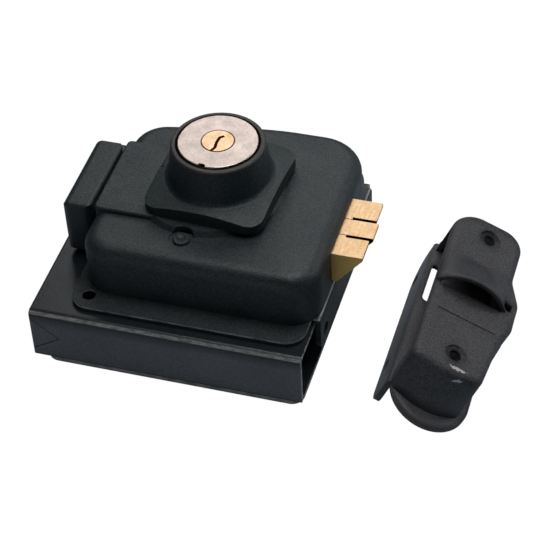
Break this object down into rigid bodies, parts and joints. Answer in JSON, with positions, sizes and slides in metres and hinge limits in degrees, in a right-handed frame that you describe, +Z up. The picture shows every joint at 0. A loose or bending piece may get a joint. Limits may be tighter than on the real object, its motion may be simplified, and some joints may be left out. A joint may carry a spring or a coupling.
{
  "type": "door lock",
  "caption": "Surface-mounted gate lock with bevelled brass latch, key cylinder and pull handle on an open weld-on steel box, with its separate hooded keeper",
  "frame": {"origin": "on the surface that the set stands on, under the axis of the key cylinder", "axes": "+Z up along the cylinder's axis, +X the side that the latch bolt comes out of, +Y away from the viewer"},
  "size_m": [0.1822, 0.1217, 0.0748],
  "materials": {
    "box_black": "satin black paint on sheet steel",
    "lock_black": "fine-textured matt black powder coat",
    "brass": "sawn and lightly brushed",
    "nickel": "satin nickel",
    "plug_brass": "turned and polished",
    "steel": "bright zinc-plated",
    "spring_steel": "drawn spring wire"
  },
  "bodies": {
    "lock_and_keeper": {"weld_box_pan": "box_black", "weld_box_bottom": "box_black", "base_plate": "lock_black", "case_shell": "lock_black", "case_rivets": "lock_black", "case_screws": "steel", "return_springs": "spring_steel", "spring_bracket": "steel", "spring_rods": "steel", "bolt_guide": "steel", "guide_pins": "steel", "wheel_post": "steel", "cylinder_housing": "lock_black", "cylinder_body": "nickel", "driver_pins": "plug_brass", "pin_springs": "spring_steel", "cylinder_screws": "steel", "keeper_plate": "lock_black", "keeper_cover": "lock_black", "keeper_bushes": "lock_black"},
    "latch": {"latch_bolt": "brass", "slide_plate": "steel", "slide_rivets": "steel", "pull_handle": "lock_black", "handle_screws": "steel"},
    "finger": {"deadlock_finger": "brass", "finger_spring": "spring_steel"},
    "wheel": {"drive_wheel": "steel"},
    "plug": {"cylinder_plug": "plug_brass", "key_pins": "plug_brass", "plug_clip": "steel", "tail_bar": "steel"}
  },
  "joints": [
    {"name": "latch_slide", "type": "slide", "parent": "lock_and_keeper", "child": "latch", "axis": [-1, 0, 0], "range_m": [0, 0.012], "stiffness_N_per_m": 180, "springref_m": -0.004, "deforming": ["return_springs"]},
    {"name": "finger_slide", "type": "slide", "parent": "latch", "child": "finger", "axis": [-1, 0, 0], "range_m": [0, 0.009], "stiffness_N_per_m": 60, "springref_m": -0.003, "deforming": ["finger_spring"]},
    {"name": "wheel_turn", "type": "hinge", "parent": "lock_and_keeper", "child": "wheel", "pos_m": [0, 0, 0.0435], "axis": [0, 0, 1], "range_deg": [-57.32, 0]},
    {"name": "key_turn", "type": "hinge", "parent": "lock_and_keeper", "child": "plug", "pos_m": [0, 0, 0.0739], "axis": [0, 0, 1], "range_deg": [-70, 0]}
  ],
  "couplings": [
    {"joint": "wheel_turn", "follows": "latch_slide", "rad_per_m": -83.333}
  ]
}
